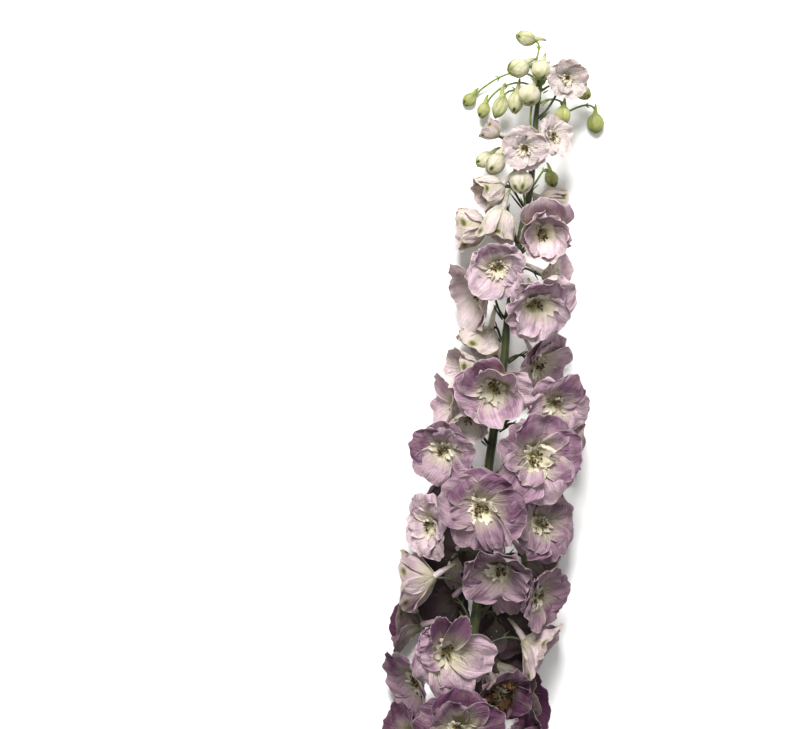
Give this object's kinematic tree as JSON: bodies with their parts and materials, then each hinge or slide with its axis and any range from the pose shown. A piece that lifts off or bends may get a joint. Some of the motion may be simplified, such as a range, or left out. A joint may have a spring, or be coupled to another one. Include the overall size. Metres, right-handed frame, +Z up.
{
  "type": "cut delphinium flower spike",
  "caption": "Cut delphinium stem lying on its side: tall spike of pale lilac spurred florets on thin stalks, opening from the foot up to creamy green buds at the tip.",
  "frame": {"origin": "middle of the bounding box in plan, at the height of the surface that the spike lies on", "axes": "+Y along the stem towards the growing tip, +X to the right of the stem seen from above with the tip away from the viewer, +Z up off the surface"},
  "size_m": [0.122, 0.7163, 0.0774],
  "materials": {
    "stem": "satin",
    "sepals": "matte",
    "young_sepals": "matte",
    "buds": "satin"
  },
  "bodies": {
    "root": {"main_stem": "stem", "floret_01": "sepals", "floret_02": "sepals", "floret_03": "sepals", "floret_04": "sepals", "floret_05": "sepals", "floret_06": "sepals", "floret_07": "sepals", "floret_08": "sepals", "floret_09": "sepals", "floret_10": "sepals", "floret_11": "sepals", "floret_12": "sepals", "floret_13": "sepals", "floret_14": "sepals", "floret_15": "sepals", "floret_16": "sepals", "floret_17": "sepals", "floret_18": "sepals", "floret_19": "sepals", "floret_20": "sepals", "floret_21": "sepals", "floret_22": "sepals", "floret_23": "sepals", "floret_24": "sepals", "floret_25": "sepals", "floret_26": "sepals", "floret_27": "sepals", "floret_28": "sepals", "floret_29": "sepals", "floret_30": "sepals", "floret_31": "sepals", "floret_32": "sepals", "floret_33": "sepals", "floret_34": "sepals", "floret_35": "sepals", "floret_36": "sepals", "floret_37": "sepals", "half_open_01": "young_sepals", "half_open_02": "young_sepals", "half_open_03": "young_sepals", "half_open_04": "young_sepals", "half_open_05": "young_sepals", "half_open_06": "young_sepals", "half_open_07": "young_sepals", "bud_01": "buds", "bud_02": "buds", "bud_03": "buds", "bud_04": "buds", "bud_05": "buds", "bud_06": "buds", "bud_07": "buds", "bud_08": "buds", "bud_09": "buds", "bud_10": "buds", "bud_11": "buds", "bud_12": "buds", "bud_13": "buds", "bud_14": "buds", "bud_15": "buds"}
  },
  "joints": []
}
